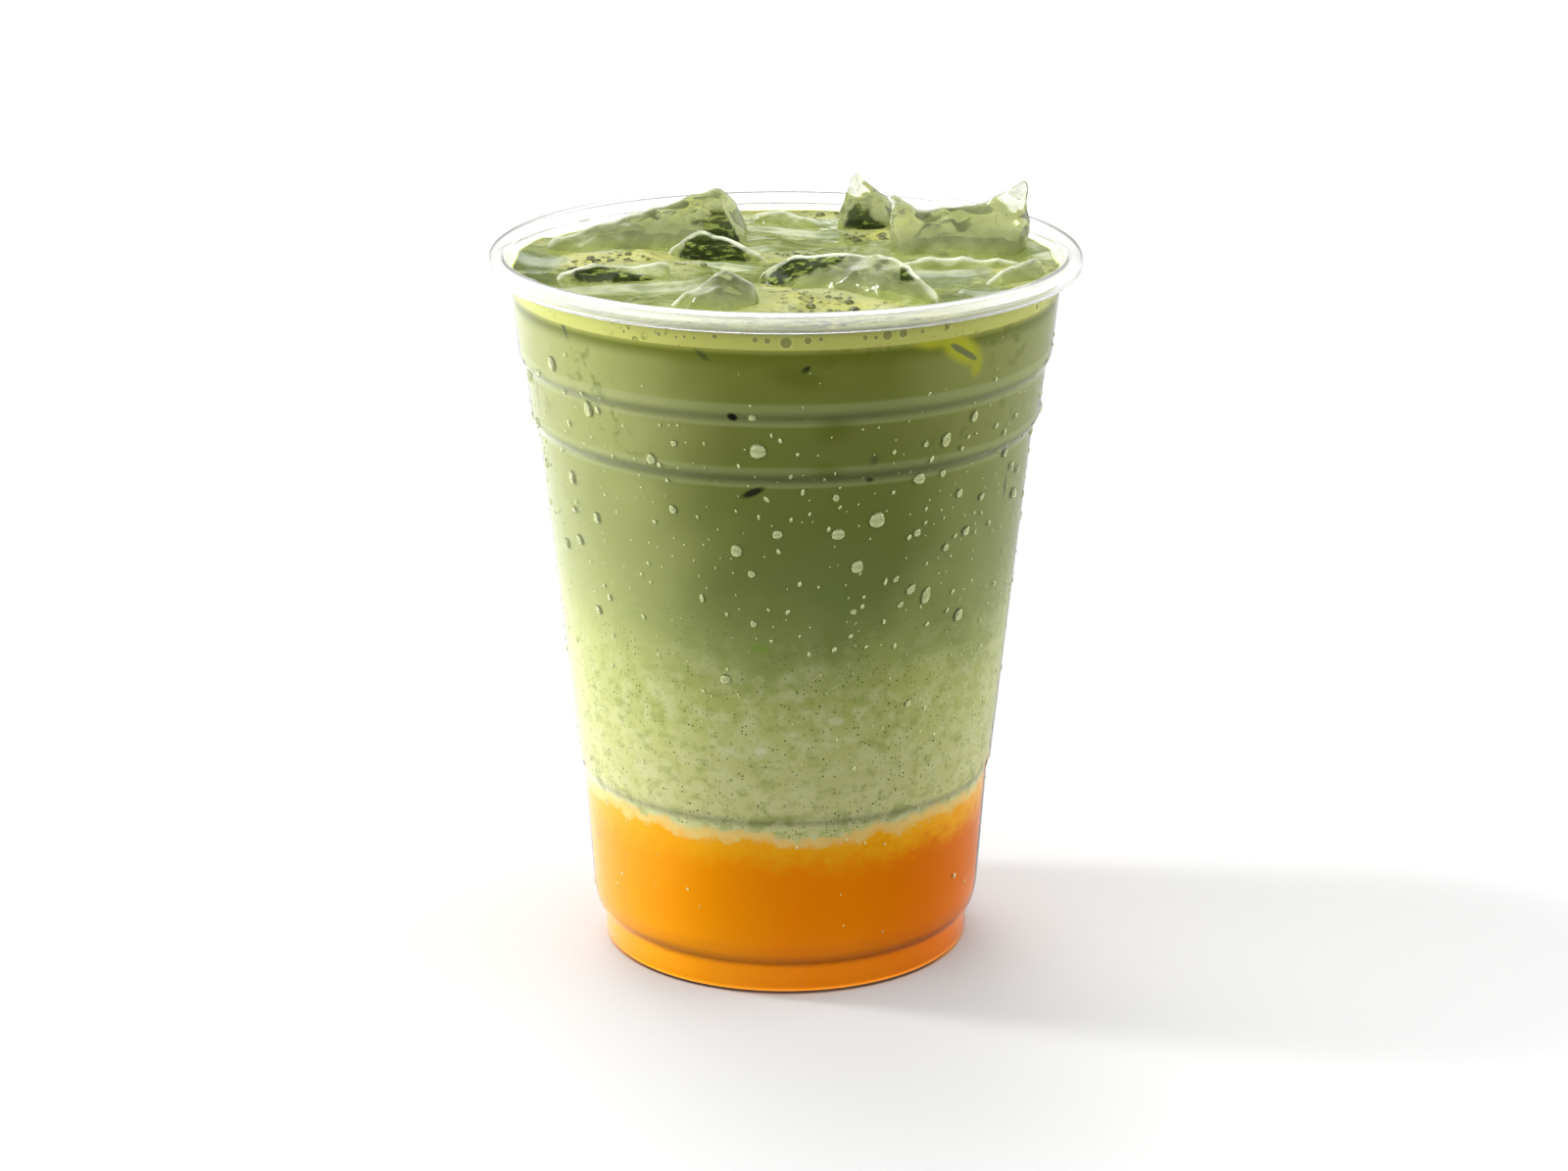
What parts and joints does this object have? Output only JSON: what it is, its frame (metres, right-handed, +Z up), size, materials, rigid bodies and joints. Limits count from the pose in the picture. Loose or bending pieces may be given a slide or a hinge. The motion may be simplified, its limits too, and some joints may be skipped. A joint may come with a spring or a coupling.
{
  "type": "iced matcha latte",
  "caption": "Iced matcha latte in a clear plastic tumbler: mango puree, milk, green matcha and froth in layers, with clear ice standing out of the froth.",
  "frame": {"origin": "middle of the cup's foot, on the surface that it stands on", "axes": "+Z up the cup's axis; +X to the right and -Y towards the viewer of the shown side"},
  "size_m": [0.0978, 0.0978, 0.1269],
  "materials": {
    "clear_plastic": "clear, glossy, thin thermoformed sheet with beads of water on its outside",
    "mango_puree": "opaque orange fruit puree",
    "milk": "pale green-tinged milk with fine specks of tea powder",
    "matcha": "opaque green milky tea",
    "matcha_froth": "yellow-green froth with small bubbles",
    "ice": "clear wet ice"
  },
  "bodies": {
    "root": {"cup": "clear_plastic", "mango_puree": "mango_puree", "milk": "milk", "matcha": "matcha", "matcha_froth": "matcha_froth", "ice_back_left": "ice", "ice_middle_left": "ice", "ice_front_left": "ice", "ice_front_small": "ice", "ice_front_arch": "ice", "ice_back_middle": "ice", "ice_back_tooth": "ice", "ice_back_right": "ice", "ice_right": "ice", "ice_front_right": "ice"}
  },
  "joints": []
}
